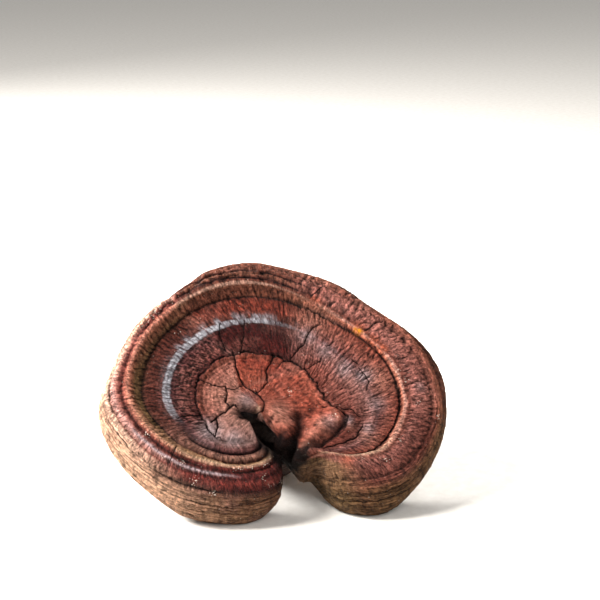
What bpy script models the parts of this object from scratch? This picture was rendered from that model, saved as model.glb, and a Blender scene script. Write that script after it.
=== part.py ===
"""Dried reishi mushroom: a kidney-shaped cap and its short stem.

The cap leans back on the two lobes of its own rim and on the cut foot of the stem. It is modelled
on its own axes, in millimetres: p to the right across the lobes, q up the slope of the upper face,
and n out of that face. The origin of those axes is the growth centre, level with the crest of the
main ridge. The finished shape is then turned and placed in the row's frame, +Z up, in metres.
"""
import math

import bmesh
import bpy
from mathutils import Matrix, Vector

MM = 0.001

# Driving dimensions, in millimetres and degrees.
LEAN = 45.0                      # slope of the upper face
CENTRE = (-4.24, -15.2, 37.48)   # growth centre in the row's frame
UNDERSIDE = -22.0                # depth of the pore layer below the ridge crest
UNDER_RIM_RISE = 1.0             # how far the lower edge of the rim stays above the pore layer
UNDER_INSET = 0.83               # lower edge of the rim, as a share of the widest outline
RIM_SQUARENESS = 2.2             # 2 is a round rim section, more is squarer
GROOVE_START = 0.72              # where the face starts to climb to the ridge, disc to crest
PIECE_GAP = 0.3                  # cap to stem

STEM_CENTRE = (5.0, -4.6)        # where the stem's axis meets the cap, on p and q
STEM_TOP_RADIUS = 10.0
STEM_WAIST_RADIUS = 7.6
STEM_FOOT_RADIUS = 8.4
STEM_FLARE_SHARE = 0.45          # the part of its length in which the top narrows to the waist
STEM_SWEEP = (0.4, 0.6)          # drift of the axis on p and q from the top to the foot
STEM_REACH = 46.0                # length before the foot is cut level
STEM_TOP_ROUNDING = 0.06         # the first ring of full radius, as a share of the length
STEM_END_INSET = 0.8             # radius of the ring that rounds each end, as a share
STEM_KNOBS = ((0.35, 2, 5.0), (0.25, 3, -4.0))   # height, knobs in a turn, twist to the foot
FOOT_CUTTER_SIDE = 120.0

# Cage sizes: the rings are counted from the growth centre, over the rim, to the underside.
RINGS_DISC = 4
RINGS_FACE = 5
RINGS_RIM = 6
RINGS_UNDER = 3
STEM_SIDES = 16
STEM_RINGS = 9                   # rings on the stem's side, without the two that round its ends

DISC_POLE = Vector((-8.0, 4.5, -3.2))
HUB_RADIUS = 4.5
HUB_SHARE = 0.25                 # the hub's ring, as a share of the way to the disc's edge
UNDER_MIDDLE = Vector((2.0, 8.0))
UNDER_POLE = Vector((2.0, -1.0, UNDERSIDE))

# Growth lines from the middle of the cap out over its rim, clockwise from the bottom of the notch.
# Each line has the bearing in degrees on which it leaves the growth centre, then its points
# (p, q, n) on the edge of the inner disc, on the crest of the main ridge and where the rim is
# widest. Lines in the notch also state their point on the lower edge of the rim.
GROWTH_LINES = (
    # the notch: its bottom, then down the wall of the left lobe
    (265, (-8.4, -3.8, -3.6), (-7.6, -4.8, -5.4), (-6.2, -6.6, -10.0), (4.0, -14.8, -19.5)),
    (222, (-6.6, -7.6, -2.2), (-5.8, -8.4, -3.6), (-5.2, -9.8, -10.5), (3.2, -15.8, -19.5)),
    (217, (-5.6, -11.6, -1.8), (-4.6, -14.4, -1.4), (-1.8, -15.6, -10.5), (2.0, -17.6, -19.5)),
    (212, (-7.0, -13.6, -2.0), (-0.9, -19.3, -0.4), (2.8, -20.5, -10.5), (0.6, -21.0, -20.0)),
    # the left lobe, the left side and the far edge
    (208, (-10.5, -14.2, -2.0), (-4.5, -22.9, 0.0), (1.8, -32.4, -10.5), (-1.0, -26.8, -20.5)),
    (203, (-15.0, -13.6, -2.2), (-14.0, -23.7, 0.0), (-9.5, -39.0, -10.5)),
    (197, (-18.6, -11.6, -2.4), (-24.5, -20.9, 0.0), (-26.0, -36.6, -10.5)),
    (190, (-20.3, -9.0, -2.5), (-34.0, -15.2, 0.0), (-39.8, -27.9, -10.5)),
    (182, (-22.2, -4.6, -2.6), (-42.0, -7.0, 0.0), (-51.6, -14.1, -10.5)),
    (172, (-24.0, 0.5, -2.6), (-47.2, 2.5, 0.0), (-57.3, 1.5, -10.5)),
    (159, (-23.6, 7.0, -2.6), (-47.6, 12.5, 0.0), (-54.0, 15.2, -10.5)),
    (143, (-20.6, 13.0, -2.6), (-43.6, 23.8, 0.0), (-47.5, 27.8, -10.0)),
    (125, (-15.6, 17.2, -2.6), (-36.6, 33.2, 0.0), (-39.5, 38.6, -10.0)),
    (104, (-9.0, 19.4, -2.6), (-26.4, 41.0, 0.0), (-28.2, 47.2, -10.0)),
    (84, (-2.0, 19.4, -2.6), (-13.5, 45.6, 0.0), (-15.5, 56.0, -9.5)),
    (66, (4.6, 17.7, -2.6), (1.0, 46.4, 0.0), (1.0, 59.3, -9.5)),
    # the far right edge and the right side
    (50, (10.0, 15.0, -2.6), (13.6, 41.8, 0.0), (17.0, 54.8, -9.5)),
    (37, (14.5, 11.6, -2.6), (24.4, 34.4, 0.0), (32.2, 47.8, -9.5)),
    (26, (17.6, 7.0, -2.6), (34.2, 26.4, 0.0), (45.4, 36.8, -10.0)),
    (16, (19.8, 1.2, -2.6), (42.7, 17.0, 0.0), (58.0, 24.4, -10.5)),
    (8, (22.8, -3.6, -2.4), (47.0, 6.2, 0.0), (64.8, 10.5, -10.5)),
    (1, (26.4, -7.0, -2.2), (47.4, -4.5, 0.0), (64.6, -4.7, -10.5)),
    (-5, (25.6, -11.2, -2.0), (43.5, -13.5, 0.0), (60.0, -17.5, -10.5)),
    # the right lobe and the small lobe beside the notch
    (-10, (21.8, -15.0, -2.0), (36.5, -20.6, 0.0), (50.8, -29.6, -10.5)),
    (-14, (17.0, -17.8, -2.0), (27.0, -22.2, 0.0), (37.8, -38.9, -10.5)),
    (-18, (13.2, -19.2, -2.2), (19.6, -20.6, -0.6), (24.0, -36.8, -10.5)),
    (-22, (10.5, -19.0, -3.0), (14.6, -20.4, -2.4), (15.8, -25.0, -12.0), (15.0, -22.4, -20.5)),
    (-26, (8.2, -18.0, -5.0), (9.6, -19.8, -7.0), (10.8, -24.0, -13.0), (11.2, -20.8, -20.5)),
    # back up the wall of the middle body to the bottom of the notch
    (-30, (5.8, -15.5, -7.5), (6.3, -17.4, -10.0), (7.2, -18.6, -13.5), (8.4, -17.0, -20.0)),
    (-35, (3.3, -12.0, -6.5), (2.8, -13.2, -9.0), (3.8, -15.0, -12.5), (6.4, -15.0, -19.5)),
    (-41, (0.7, -8.4, -5.2), (-0.8, -9.2, -8.0), (0.0, -10.6, -12.0), (5.6, -14.2, -19.5)),
    (-49, (-2.8, -5.4, -4.4), (-4.2, -6.2, -7.0), (-3.0, -7.4, -11.0), (4.8, -14.2, -19.5)),
)


def hub_point(line):
    """The point of a growth line on the small round hub at the growth centre."""
    bearing = math.radians(line[0])
    return DISC_POLE + HUB_RADIUS * Vector((math.cos(bearing), math.sin(bearing), 0.0))


def lower_edge(line):
    """The point of a growth line on the lower edge of the rim."""
    if len(line) == 5:
        return Vector(line[4])
    widest = Vector(line[3][:2])
    inset = UNDER_MIDDLE + (widest - UNDER_MIDDLE) * UNDER_INSET
    return Vector((inset.x, inset.y, UNDERSIDE + UNDER_RIM_RISE))


HUB = [hub_point(line) for line in GROWTH_LINES]
DISC_EDGE = [Vector(line[1]) for line in GROWTH_LINES]
RIDGE = [Vector(line[2]) for line in GROWTH_LINES]
WIDEST = [Vector(line[3]) for line in GROWTH_LINES]
LOWER_EDGE = [lower_edge(line) for line in GROWTH_LINES]


def ease(value):
    """A smooth climb from 0 to 1."""
    value = min(max(value, 0.0), 1.0)
    return value * value * (3 - 2 * value)


def disc_point(line, share):
    """The inner disc, from its pole over the hub to its edge."""
    if share <= HUB_SHARE:
        return DISC_POLE.lerp(HUB[line], share / HUB_SHARE)
    return HUB[line].lerp(DISC_EDGE[line], (share - HUB_SHARE) / (1 - HUB_SHARE))


def face_point(line, share):
    """The ringed face to the ridge: flat, then a climb to the crest, or a steady fall in the notch."""
    inner = DISC_EDGE[line]
    outer = RIDGE[line]
    point = inner.lerp(outer, share)
    if outer.z > inner.z:
        climb = ease((share - GROOVE_START) / (1 - GROOVE_START))
        point.z = inner.z + (outer.z - inner.z) * climb
    return point


def rim_point(line, share):
    """The rim's section: from the crest, round the widest outline, to the lower edge."""
    angle = share * math.pi
    out = abs(math.sin(angle)) ** (2 / RIM_SQUARENESS)
    down = 1 - abs(math.cos(angle)) ** (2 / RIM_SQUARENESS)
    edge = RIDGE[line] if share <= 0.5 else LOWER_EDGE[line]
    widest = WIDEST[line]
    point = edge.lerp(widest, out)
    point.z = edge.z + (widest.z - edge.z) * down
    return point


def under_point(line, share):
    """The pore layer, from the lower edge of the rim to its own pole."""
    point = LOWER_EDGE[line].lerp(UNDER_POLE, share)
    point.z = UNDERSIDE + (point.z - UNDERSIDE) * (1 - ease(2 * share))
    return point


def cap_point(line, ring):
    """The cage's point on a growth line, at a ring number counted from the disc's pole."""
    bands = (
        (RINGS_DISC, disc_point),
        (RINGS_FACE, face_point),
        (RINGS_RIM, rim_point),
        (RINGS_UNDER, under_point),
    )
    for count, point_on_band in bands:
        if ring <= count:
            return point_on_band(line, ring / count)
        ring -= count
    raise ValueError("ring lies beyond the underside")


def stem_point(angle, share):
    """The stem's side, share running from 0 under the cap to 1 past the foot."""
    flare = (1 - ease(share / STEM_FLARE_SHARE)) * (STEM_TOP_RADIUS - STEM_WAIST_RADIUS)
    swell = ease(share) * (STEM_FOOT_RADIUS - STEM_WAIST_RADIUS)
    knobs = sum(height * math.sin(count * angle + twist * share) for height, count, twist in STEM_KNOBS)
    radius = STEM_WAIST_RADIUS + flare + swell + knobs
    return Vector((
        STEM_CENTRE[0] + STEM_SWEEP[0] * share + radius * math.cos(angle),
        STEM_CENTRE[1] + STEM_SWEEP[1] * share + radius * math.sin(angle),
        UNDERSIDE - PIECE_GAP - STEM_REACH * share,
    ))


def stem_share(ring):
    """How far down the stem a ring of its cage lies; ring 2 is the first of full radius."""
    side = (ring - 2) / (STEM_RINGS - 1)
    return min(max(STEM_TOP_ROUNDING + (1 - STEM_TOP_ROUNDING) * side, 0.0), 1.0)


# From the cap's own axes in millimetres to the row's frame in metres.
PLACE = (
    Matrix.Scale(MM, 4)
    @ Matrix.Translation(CENTRE)
    @ Matrix.Rotation(math.radians(LEAN), 4, "X")
)


def clear_scene():
    """Remove every object of the scene."""
    for thing in list(bpy.data.objects):
        bpy.data.objects.remove(thing, do_unlink=True)


def new_collection(name):
    """A collection linked into the scene."""
    group = bpy.data.collections.new(name)
    bpy.context.scene.collection.children.link(group)
    return group


def finish_material(name, colour, roughness):
    """A plain Principled finish for one piece."""
    material = bpy.data.materials.new(name)
    material.use_nodes = True
    shader = material.node_tree.nodes["Principled BSDF"]
    shader.inputs["Base Color"].default_value = (*colour, 1.0)
    shader.inputs["Roughness"].default_value = roughness
    shader.inputs["Metallic"].default_value = 0.0
    return material


def new_piece(name, bm, group, material=None):
    """An object made from a bmesh, shaded smooth."""
    mesh = bpy.data.meshes.new(name)
    bm.to_mesh(mesh)
    bm.free()
    mesh.shade_smooth()
    piece = bpy.data.objects.new(name, mesh)
    group.objects.link(piece)
    if material:
        mesh.materials.append(material)
    return piece


def soften(piece, levels):
    """A Subdivision Surface modifier, the same in the viewport and the render."""
    modifier = piece.modifiers.new("soften", "SUBSURF")
    modifier.levels = levels
    modifier.render_levels = levels


def build_cap(group):
    """A ball's rings and meridians, pressed into the growth rings and growth lines of the cap."""
    lines = len(GROWTH_LINES)
    rings = RINGS_DISC + RINGS_FACE + RINGS_RIM + RINGS_UNDER
    bm = bmesh.new()
    bmesh.ops.create_uvsphere(bm, u_segments=lines, v_segments=rings, radius=1.0)
    for vert in bm.verts:
        turn = -math.atan2(vert.co.y, vert.co.x) / (2 * math.pi)
        fall = math.acos(max(-1.0, min(1.0, vert.co.z))) / math.pi
        vert.co = PLACE @ cap_point(round(turn * lines) % lines, round(fall * rings))
    material = finish_material("cap", (0.27, 0.075, 0.045), 0.62)
    cap = new_piece("cap", bm, group, material)
    soften(cap, 1)
    return cap


def build_foot_cutter(group):
    """A block under the level that the mushroom stands on, which cuts the stem's foot flat."""
    bm = bmesh.new()
    bmesh.ops.create_cube(bm, size=FOOT_CUTTER_SIDE * MM)
    bmesh.ops.translate(bm, verts=bm.verts, vec=(0.0, 0.0, -FOOT_CUTTER_SIDE / 2 * MM))
    cutter = new_piece("foot_cutter", bm, group)
    cutter.hide_render = True
    cutter.display_type = "WIRE"
    return cutter


def build_stem(group, cutter):
    """A knobbly stalk square to the cap, flared where it joins it and cut level at the foot."""
    last_ring = STEM_RINGS + 3
    bm = bmesh.new()
    bmesh.ops.create_uvsphere(bm, u_segments=STEM_SIDES, v_segments=last_ring, radius=1.0)
    for vert in bm.verts:
        angle = math.atan2(vert.co.y, vert.co.x)
        ring = round(math.acos(max(-1.0, min(1.0, vert.co.z))) / math.pi * last_ring)
        point = stem_point(angle, stem_share(ring))
        axis = Vector((*STEM_CENTRE, point.z))
        if ring in (0, last_ring):
            point = axis
        if ring in (1, last_ring - 1):
            point = axis.lerp(point, STEM_END_INSET)
        vert.co = PLACE @ point
    material = finish_material("stem", (0.05, 0.02, 0.014), 0.35)
    stem = new_piece("stem", bm, group, material)
    soften(stem, 1)
    cut = stem.modifiers.new("foot", "BOOLEAN")
    cut.operation = "DIFFERENCE"
    cut.solver = "EXACT"
    cut.object = cutter
    return stem


def main():
    """Build the two pieces of the mushroom."""
    clear_scene()
    pieces = new_collection("reishi_mushroom")
    cutters = new_collection("cutters")
    build_cap(pieces)
    cutter = build_foot_cutter(cutters)
    build_stem(pieces, cutter)


main()
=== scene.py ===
# %% [markdown]
# # A dried reishi mushroom
# A reishi grows as one woody bracket. Its cap is a kidney, because it spreads from one point
# beside the stem and leaves a notch there. Every ring on it is an old edge of growth. This lesson
# takes the plain solid of the cap and the stem as its frame, and makes the real surface over it:
# rings, rolls, creases and cracks as geometry, and the colours from the same growth pattern.

# %% Load the solid model
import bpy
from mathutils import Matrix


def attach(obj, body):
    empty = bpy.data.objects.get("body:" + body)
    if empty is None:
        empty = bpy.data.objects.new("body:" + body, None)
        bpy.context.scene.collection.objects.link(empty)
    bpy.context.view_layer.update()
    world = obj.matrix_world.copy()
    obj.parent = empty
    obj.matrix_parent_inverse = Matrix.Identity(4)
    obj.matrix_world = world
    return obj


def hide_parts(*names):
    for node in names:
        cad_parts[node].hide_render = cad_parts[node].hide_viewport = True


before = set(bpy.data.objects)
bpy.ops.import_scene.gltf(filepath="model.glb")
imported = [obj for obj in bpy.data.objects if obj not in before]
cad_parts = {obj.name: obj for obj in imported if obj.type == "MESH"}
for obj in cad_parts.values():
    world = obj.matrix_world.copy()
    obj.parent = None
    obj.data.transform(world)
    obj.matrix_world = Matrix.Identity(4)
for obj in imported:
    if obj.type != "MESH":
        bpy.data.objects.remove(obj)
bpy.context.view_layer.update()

# %% [markdown]
# ## Units and the cap's own axes
# The cap leans, so it is easier to think on axes that lie in it: p runs right across the lobes,
# q up the slope of the face, and n out of the face. Lengths there are in millimetres. One turn
# and one shift then place a finished shape in the scene, which is in metres. `CENTRE` is where
# the growth centre stands in the scene, and the flat underside lies at `UNDERSIDE`.

# %% Axes of the cap
import math

import bpy
import numpy as np

MM = 0.001
LEAN = math.radians(45.0)
CENTRE = np.array([-4.24, -15.2, 37.48])
UNDERSIDE = -22.0


def place(points):
    """Points on the cap's axes, in millimetres, as scene positions in metres."""
    p, q, n = points[:, 0], points[:, 1], points[:, 2]
    y = q * math.cos(LEAN) - n * math.sin(LEAN)
    z = q * math.sin(LEAN) + n * math.cos(LEAN)
    return (np.stack([p, y, z], axis=1) + CENTRE) * MM


print("growth centre at", place(np.zeros((1, 3)))[0].round(4), "m")

# %% [markdown]
# ## Growth lines
# A bracket is drawn best the way it grew, along lines that leave the growth centre and run out
# over the rim. Each line below starts on a bearing, in degrees, and passes through three or four
# points: the edge of the inner disc, the crest of the main ridge, the widest part of the rim, and,
# in the notch, the rim's lower edge. Elsewhere the lower edge is set in from the widest part by a
# fixed share. A smooth closed curve through the same point of every line is a ring.

# %% Growth lines, clockwise from the bottom of the notch
GROWTH_LINES = (
    # the notch: its bottom, then down the wall of the left lobe
    (265, (-8.4, -3.8, -3.6), (-7.6, -4.8, -5.4), (-6.2, -6.6, -10.0), (4.0, -14.8, -19.5)),
    (222, (-6.6, -7.6, -2.2), (-5.8, -8.4, -3.6), (-5.2, -9.8, -10.5), (3.2, -15.8, -19.5)),
    (217, (-5.6, -11.6, -1.8), (-4.6, -14.4, -1.4), (-1.8, -15.6, -10.5), (2.0, -17.6, -19.5)),
    (212, (-7.0, -13.6, -2.0), (-0.9, -19.3, -0.4), (2.8, -20.5, -10.5), (0.6, -21.0, -20.0)),
    # the left lobe, the left side and the far edge
    (208, (-10.5, -14.2, -2.0), (-4.5, -22.9, 0.0), (1.8, -32.4, -10.5), (-1.0, -26.8, -20.5)),
    (203, (-15.0, -13.6, -2.2), (-14.0, -23.7, 0.0), (-9.5, -39.0, -10.5)),
    (197, (-18.6, -11.6, -2.4), (-24.5, -20.9, 0.0), (-26.0, -36.6, -10.5)),
    (190, (-20.3, -9.0, -2.5), (-34.0, -15.2, 0.0), (-39.8, -27.9, -10.5)),
    (182, (-22.2, -4.6, -2.6), (-42.0, -7.0, 0.0), (-51.6, -14.1, -10.5)),
    (172, (-24.0, 0.5, -2.6), (-47.2, 2.5, 0.0), (-57.3, 1.5, -10.5)),
    (159, (-23.6, 7.0, -2.6), (-47.2, 12.4, 0.0), (-54.0, 15.2, -10.5)),
    (143, (-20.6, 13.0, -2.6), (-42.9, 23.5, 0.0), (-47.5, 27.8, -10.0)),
    (125, (-15.6, 17.2, -2.6), (-35.9, 32.6, 0.0), (-39.5, 38.6, -10.0)),
    (104, (-9.0, 19.4, -2.6), (-25.9, 40.4, 0.0), (-28.2, 47.2, -10.0)),
    (84, (-2.0, 19.4, -2.6), (-13.5, 45.6, 0.0), (-15.5, 56.0, -9.5)),
    (66, (4.6, 17.7, -2.6), (1.0, 46.4, 0.0), (1.0, 59.3, -9.5)),
    # the far right edge and the right side
    (50, (10.0, 15.0, -2.6), (13.6, 41.8, 0.0), (17.0, 54.8, -9.5)),
    (37, (14.5, 11.6, -2.6), (24.4, 34.4, 0.0), (32.2, 47.8, -9.5)),
    (26, (17.6, 7.0, -2.6), (34.2, 26.4, 0.0), (45.4, 36.8, -10.0)),
    (16, (19.8, 1.2, -2.6), (42.7, 17.0, 0.0), (58.0, 24.4, -10.5)),
    (8, (22.8, -3.6, -2.4), (47.0, 6.2, 0.0), (64.8, 10.5, -10.5)),
    (1, (26.4, -7.0, -2.2), (47.4, -4.5, 0.0), (64.6, -4.7, -10.5)),
    (-5, (25.6, -11.2, -2.0), (43.5, -13.5, 0.0), (60.0, -17.5, -10.5)),
    # the right lobe and the small lobe beside the notch
    (-10, (21.8, -15.0, -2.0), (36.5, -20.6, 0.0), (50.8, -29.6, -10.5)),
    (-14, (17.0, -17.8, -2.0), (27.0, -22.2, 0.0), (37.8, -38.9, -10.5)),
    (-18, (13.2, -19.2, -2.2), (19.6, -20.6, -0.6), (24.0, -36.8, -10.5)),
    (-22, (10.5, -19.0, -3.0), (14.6, -20.4, -2.4), (15.8, -25.0, -12.0), (15.0, -22.4, -20.5)),
    (-26, (8.2, -18.0, -5.0), (9.6, -19.8, -7.0), (10.8, -24.0, -13.0), (11.2, -20.8, -20.5)),
    # back up the wall of the middle body to the bottom of the notch
    (-30, (5.8, -15.5, -7.5), (6.3, -17.4, -10.0), (7.2, -18.6, -13.5), (8.4, -17.0, -20.0)),
    (-35, (3.3, -12.0, -6.5), (2.8, -13.2, -9.0), (3.8, -15.0, -12.5), (6.4, -15.0, -19.5)),
    (-41, (0.7, -8.4, -5.2), (-0.8, -9.2, -8.0), (0.0, -10.6, -12.0), (5.6, -14.2, -19.5)),
    (-49, (-2.8, -5.4, -4.4), (-4.2, -6.2, -7.0), (-3.0, -7.4, -11.0), (4.8, -14.2, -19.5)),
)
LINES = len(GROWTH_LINES)
POLE = np.array([-8.0, 4.5, -3.2])
HUB_RADIUS = 4.5
UNDER_POLE = np.array([2.0, -1.0, UNDERSIDE])
UNDER_MIDDLE = np.array([2.0, 8.0])
UNDER_INSET = 0.83
LOWER_RISE = 1.0


def lower_edge(line):
    """The point of a growth line on the lower edge of the rim."""
    if len(line) == 5:
        return line[4]
    inset = UNDER_MIDDLE + (np.array(line[3][:2]) - UNDER_MIDDLE) * UNDER_INSET
    return (*inset, UNDERSIDE + LOWER_RISE)


bearings = np.radians([line[0] for line in GROWTH_LINES])
hub_circle = np.stack([np.cos(bearings), np.sin(bearings), 0 * bearings], axis=1)
HUB = POLE + HUB_RADIUS * hub_circle
DISC_EDGE = np.array([line[1] for line in GROWTH_LINES])
CREST = np.array([line[2] for line in GROWTH_LINES])
WIDEST = np.array([line[3] for line in GROWTH_LINES])
LOWER = np.array([lower_edge(line) for line in GROWTH_LINES])
print(LINES, "growth lines; cap", round(WIDEST[:, 0].max() - WIDEST[:, 0].min(), 1), "mm wide")

# %% [markdown]
# ## Start from a ball
# A UV sphere already has what a bracket needs: meridians that can follow the growth lines, rings
# that can follow the growth rings, and a UV map that says where each point is on both. So the cap
# starts as a sphere. Its rings are shared out between five bands: disc, face, upper rim, lower
# rim and underside. The face and the upper rim are subdivided again, because most detail is there.

# %% Add the sphere and refine two of its bands
BAND_ROWS = (44, 28, 26, 18, 18)
ROWS = sum(BAND_ROWS)
COLUMNS = 320


def deselect_all():
    """Leave nothing selected and nothing in edit mode."""
    if bpy.context.object and bpy.context.object.mode != "OBJECT":
        bpy.ops.object.mode_set(mode="OBJECT")
    bpy.ops.object.select_all(action="DESELECT")


deselect_all()
bpy.ops.mesh.primitive_uv_sphere_add(segments=COLUMNS, ring_count=ROWS, radius=1.0)
cap = bpy.context.object
cap.name = "reishi_cap"
fine_top = BAND_ROWS[0]
fine_bottom = sum(BAND_ROWS[:3])
bpy.ops.object.mode_set(mode="EDIT")
bpy.ops.mesh.select_all(action="DESELECT")
bpy.ops.object.mode_set(mode="OBJECT")
for face in cap.data.polygons:
    row = math.acos(max(-1.0, min(1.0, face.center.normalized().z))) / math.pi * ROWS
    face.select = fine_top < row < fine_bottom
bpy.ops.object.mode_set(mode="EDIT")
bpy.ops.mesh.subdivide(number_cuts=1)
bpy.ops.object.mode_set(mode="OBJECT")
print("cap starts with", len(cap.data.vertices), "points")

# %% [markdown]
# ## Read each point's growth coordinates
# The sphere's UV map gives every point its place round the cap and down its rings. Two numbers
# are kept from it: `line`, the growth line it lies on, and `ring`, which is 0 at the growth
# centre, 1 on the disc's edge, 2 on the ridge, 3 where the rim is widest, 4 on its lower edge and
# 5 at the middle of the underside. The notch is short, so its lines get fewer of the columns.

# %% Growth coordinates of every point
NOTCH_SHARE = 0.4
NOTCH_START = 26
NOTCH_END = 3
step_weight = np.ones(LINES)
step_weight[:NOTCH_END] = NOTCH_SHARE
step_weight[NOTCH_START:] = NOTCH_SHARE
line_ends = np.concatenate([[0.0], np.cumsum(step_weight)]) / step_weight.sum()
band_ends = np.concatenate([[0.0], np.cumsum(BAND_ROWS)]) / ROWS

mesh = cap.data
uv = np.empty(len(mesh.loops) * 2)
mesh.uv_layers[0].uv.foreach_get("vector", uv)
uv = uv.reshape(-1, 2)
corner_line = np.interp(1.0 - uv[:, 0], line_ends, np.arange(LINES + 1))
corner_ring = np.interp(1.0 - uv[:, 1], band_ends, np.arange(6))
corner_point = np.empty(len(mesh.loops), dtype=np.int32)
mesh.loops.foreach_get("vertex_index", corner_point)
line = np.empty(len(mesh.vertices))
ring = np.empty(len(mesh.vertices))
line[corner_point] = corner_line % LINES
ring[corner_point] = corner_ring
uv = np.stack([corner_line / LINES, corner_ring / 5], axis=1)
mesh.uv_layers[0].uv.foreach_set("vector", uv.ravel().astype(np.float32))
mesh.uv_layers[0].name = "growth"
print("ring runs from", ring.min().round(3), "to", ring.max().round(3))

# %% [markdown]
# ## Small tools for shaping
# `through` reads a smooth closed curve, `ease` and `bump` are a soft step and a soft hump, `knots`
# blends values given at a few growth lines, `stretch` marks one run of growth lines, and `noise`
# is smooth noise that closes on itself round the cap, so no seam shows.

# %% Curves, steps and noise


def through(points, at):
    """Points on the smooth closed curve through a ring's points, at growth-line numbers."""
    first = np.floor(at).astype(int)
    step = (at - first)[:, None]
    before, start, end, after = (points[(first + k) % len(points)] for k in (-1, 0, 1, 2))
    return 0.5 * (
        2 * start
        + (end - before) * step
        + (2 * before - 5 * start + 4 * end - after) * step ** 2
        + (3 * start - before - 3 * end + after) * step ** 3
    )


def ease(value):
    """A soft climb from 0 to 1."""
    value = np.clip(value, 0.0, 1.0)
    return value * value * (3 - 2 * value)


def bump(value, middle, width):
    """A soft hump of height 1."""
    return np.exp(-(((value - middle) / width) ** 2))


def knots(at, *pairs):
    """A value given at a few growth lines, which blends softly between them and holds past the ends."""
    places = np.array([pair[0] for pair in pairs], dtype=float)
    values = np.array([pair[1] for pair in pairs], dtype=float)
    index = np.clip(np.searchsorted(places, at) - 1, 0, len(places) - 2)
    step = ease((at - places[index]) / (places[index + 1] - places[index]))
    return values[index] + (values[index + 1] - values[index]) * step


def stretch(start, full, fading, end):
    """A soft mask over a run of growth lines: it climbs from start to full and fades to end."""
    return knots(line, (start, 0), (full, 1), (fading, 1), (end, 0))


def noise(turn, out, cells, seed):
    """Smooth noise from -1 to 1: so many cells round a turn, and one cell per unit outward."""
    depth = 97
    lattice = np.random.RandomState(seed).uniform(-1, 1, (cells, depth))
    x = (turn % 1.0) * cells
    y = out % depth
    column = np.floor(x).astype(int)
    row = np.floor(y).astype(int)
    fx = ease(x - column)
    fy = ease(y - row)
    near = lattice[column % cells, row] * (1 - fx) + lattice[(column + 1) % cells, row] * fx
    above = (row + 1) % depth
    far = lattice[column % cells, above] * (1 - fx) + lattice[(column + 1) % cells, above] * fx
    return near * (1 - fy) + far * fy

# %% [markdown]
# ## The plain form
# First comes the shape without its wrinkles. The face is nearly flat and climbs to the ridge
# through a groove, which is wide and deep on the left and a thin line on the right. The rim is
# half of a squarish round, and the underside is flat. Both run on from the growth rings.

# %% Sections of each band
HUB_SHARE = 0.25
RIM_SQUARENESS = 2.2
OPEN_LINES = ((2, 0), (4, 1), (25, 1), (27, 0))


def ridge_width(at):
    """Distance from the crest of the ridge in to the bottom of the groove, in millimetres."""
    return knots(
        at, (0, 1), (3, 1.4), (5, 1.6), (7, 3.0), (8, 4.6), (9, 5.3), (10, 5.3), (11, 4.6), (12, 4.2),
        (13, 4.1), (15, 4.0), (16, 3.0), (17, 1.9), (18, 1.4), (23, 1.4), (25, 1.3), (27, 1),
    )


def groove_depth(at):
    """Depth of the groove inside the ridge, below the crest."""
    return knots(
        at, (0, 0.3), (3, 1.2), (5, 1.6), (7, 2.0), (9, 2.7), (11, 3.5), (13, 3.4), (15, 2.6),
        (17, 1.6), (19, 1.3), (23, 1.4), (25, 1.0), (27, 0.3),
    )


def face_measures(at, share):
    """How far inside the crest a point of the face lies, the groove's distance, and the whole span."""
    span = np.linalg.norm((through(CREST, at) - through(DISC_EDGE, at))[:, :2], axis=1)
    return (1 - share) * span, np.minimum(ridge_width(at), 0.5 * span), span


def disc_band(at, share):
    """From the growth centre over a small hub to the disc's edge."""
    hub, edge = through(HUB, at), through(DISC_EDGE, at)
    inner = (share / HUB_SHARE)[:, None]
    outer = ((share - HUB_SHARE) / (1 - HUB_SHARE))[:, None]
    in_hub = share[:, None] < HUB_SHARE
    point = np.where(in_hub, POLE + (hub - POLE) * inner, hub + (edge - hub) * outer)
    point[:, 2] = POLE[2] + (edge[:, 2] - POLE[2]) * share ** 2
    return point


def face_band(at, share):
    """From the disc's edge, down into the groove and up to the crest of the ridge."""
    inner, outer = through(DISC_EDGE, at), through(CREST, at)
    point = inner + (outer - inner) * share[:, None]
    inward, width, span = face_measures(at, share)
    past = np.maximum(inward - width, 0)
    channel = -groove_depth(at) * (0.8 + 0.2 * np.exp(-past / 0.8))
    shore = ease(past / np.maximum(span - width, 0.5))
    ground = channel * (1 - shore) + inner[:, 2] * shore
    slope = ease(inward / width)
    ridged = outer[:, 2] * (1 - slope) + ground * slope
    open_side = knots(at, *OPEN_LINES)
    point[:, 2] = point[:, 2] * (1 - open_side) + ridged * open_side
    return point


def rim_band(at, share, edge_ring):
    """A quarter of the rim's section, from the crest or the lower edge to the widest part."""
    angle = share * math.pi / 2
    out = np.sin(angle) ** (2 / RIM_SQUARENESS)
    down = 1 - np.cos(angle) ** (2 / RIM_SQUARENESS)
    edge, widest = through(edge_ring, at), through(WIDEST, at)
    point = edge + (widest - edge) * out[:, None]
    point[:, 2] = edge[:, 2] + (widest[:, 2] - edge[:, 2]) * down
    return point


def under_band(at, share):
    """From the lower edge of the rim to the middle of the underside."""
    edge = through(LOWER, at)
    point = edge + (UNDER_POLE - edge) * share[:, None]
    point[:, 2] = UNDERSIDE + (edge[:, 2] - UNDERSIDE) * (1 - ease(2 * share))
    return point


def form(at, where):
    """The plain surface at growth coordinates."""
    band = np.clip(where, 0, 4.999999).astype(int)
    share = where - band
    point = np.empty((len(at), 3))
    makers = (
        disc_band,
        face_band,
        lambda a, s: rim_band(a, s, CREST),
        lambda a, s: rim_band(a, 1 - s, LOWER),
        under_band,
    )
    for number, maker in enumerate(makers):
        here = band == number
        point[here] = maker(at[here], share[here])
    return point


plain = form(line, ring)
print("plain form:", plain.min(axis=0).round(1), "to", plain.max(axis=0).round(1), "mm")

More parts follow.
